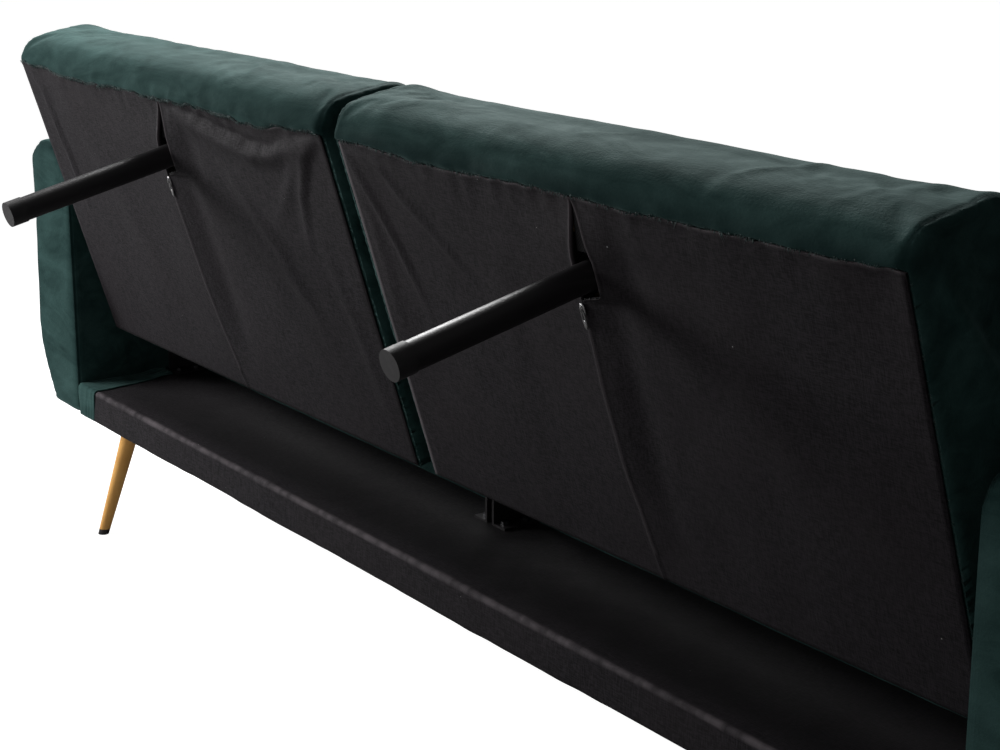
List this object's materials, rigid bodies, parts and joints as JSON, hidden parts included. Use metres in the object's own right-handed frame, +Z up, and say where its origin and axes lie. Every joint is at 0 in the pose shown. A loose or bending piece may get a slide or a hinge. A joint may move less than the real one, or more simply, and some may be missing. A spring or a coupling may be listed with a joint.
{
  "type": "futon sofa bed",
  "caption": "Velvet futon sofa bed with a split back that reclines flat, folding rear support legs, two arms and splayed gold legs.",
  "frame": {"origin": "on the floor under the middle of the sofa bed, halfway between the arms' front faces and the tips of the support legs", "axes": "+X along the sofa, to the right of someone facing its front, +Y from the seat towards the rear of the backs, +Z up"},
  "size_m": [2.158, 1.0448, 0.8087],
  "materials": {
    "velvet": "satin",
    "lining": "matte",
    "gold": "polished",
    "plastic": "matte",
    "black_metal": "satin",
    "steel": "satin",
    "zip_metal": "polished",
    "zip_tape": "matte",
    "timber": "matte",
    "webbing": "matte",
    "foam": "matte"
  },
  "bodies": {
    "base": {"base_rear_rail": "timber", "base_front_rail": "timber", "base_end_rails": "timber", "base_middle_rail": "timber", "deck_board": "timber", "seat_box_rails": "timber", "seat_box_ends": "timber", "seat_straps": "webbing", "seat_foam_left": "foam", "seat_foam_right": "foam", "seat_cover_left": "velvet", "seat_cover_right": "velvet", "base_border": "velvet", "ledge_cover": "lining", "ledge_end_strips": "velvet", "dust_cover": "lining", "leg_front_left": "gold", "leg_front_right": "gold", "leg_rear_left": "gold", "leg_rear_right": "gold", "foot_tips": "plastic", "leg_plates": "steel", "leg_screws": "steel", "arm_rails": "timber", "arm_posts": "timber", "arm_pad_left": "velvet", "arm_pad_right": "velvet", "arm_bolts": "steel", "hinge_seat_plates": "black_metal", "hinge_pins": "steel", "hinge_pawls": "black_metal", "hinge_bolts": "steel"},
    "back_left": {"back_rails_left": "timber", "back_posts_left": "timber", "back_straps_left": "webbing", "back_foam_left": "foam", "back_cover_left": "velvet", "lining_left": "lining", "zip_tape_left": "zip_tape", "hinge_back_plates_left": "black_metal", "hinge_screws_left": "steel", "leg_bracket_left": "black_metal", "leg_pin_left": "steel"},
    "back_right": {"back_rails_right": "timber", "back_posts_right": "timber", "back_straps_right": "webbing", "back_foam_right": "foam", "back_cover_right": "velvet", "lining_right": "lining", "zip_tape_right": "zip_tape", "hinge_back_plates_right": "black_metal", "hinge_screws_right": "steel", "leg_bracket_right": "black_metal", "leg_pin_right": "steel"},
    "support_leg_left": {"support_tube_left": "black_metal", "support_cap_left": "plastic"},
    "support_leg_right": {"support_tube_right": "black_metal", "support_cap_right": "plastic"},
    "zip_left": {"zip_slider_left": "zip_metal"},
    "zip_right": {"zip_slider_right": "zip_metal"}
  },
  "joints": [
    {"name": "left_back_recline", "type": "hinge", "parent": "base", "child": "back_left", "pos_m": [-0.459, 0.06661, 0.365], "axis": [1, 0, 0], "range_deg": [-73, 12]},
    {"name": "left_support_leg_fold", "type": "hinge", "parent": "back_left", "child": "support_leg_left", "pos_m": [-0.46, 0.25038, 0.66853], "axis": [1, 0, 0], "range_deg": [-93.3, 0]},
    {"name": "left_zip_slide", "type": "slide", "parent": "back_left", "child": "zip_left", "axis": [0, 0.2924, 0.9563], "range_m": [-0.27, 0.08]},
    {"name": "right_back_recline", "type": "hinge", "parent": "base", "child": "back_right", "pos_m": [0.459, 0.06661, 0.365], "axis": [1, 0, 0], "range_deg": [-73, 12]},
    {"name": "right_support_leg_fold", "type": "hinge", "parent": "back_right", "child": "support_leg_right", "pos_m": [0.46, 0.25038, 0.66853], "axis": [1, 0, 0], "range_deg": [-93.3, 0]},
    {"name": "right_zip_slide", "type": "slide", "parent": "back_right", "child": "zip_right", "axis": [0, 0.2924, 0.9563], "range_m": [-0.27, 0.08]}
  ]
}
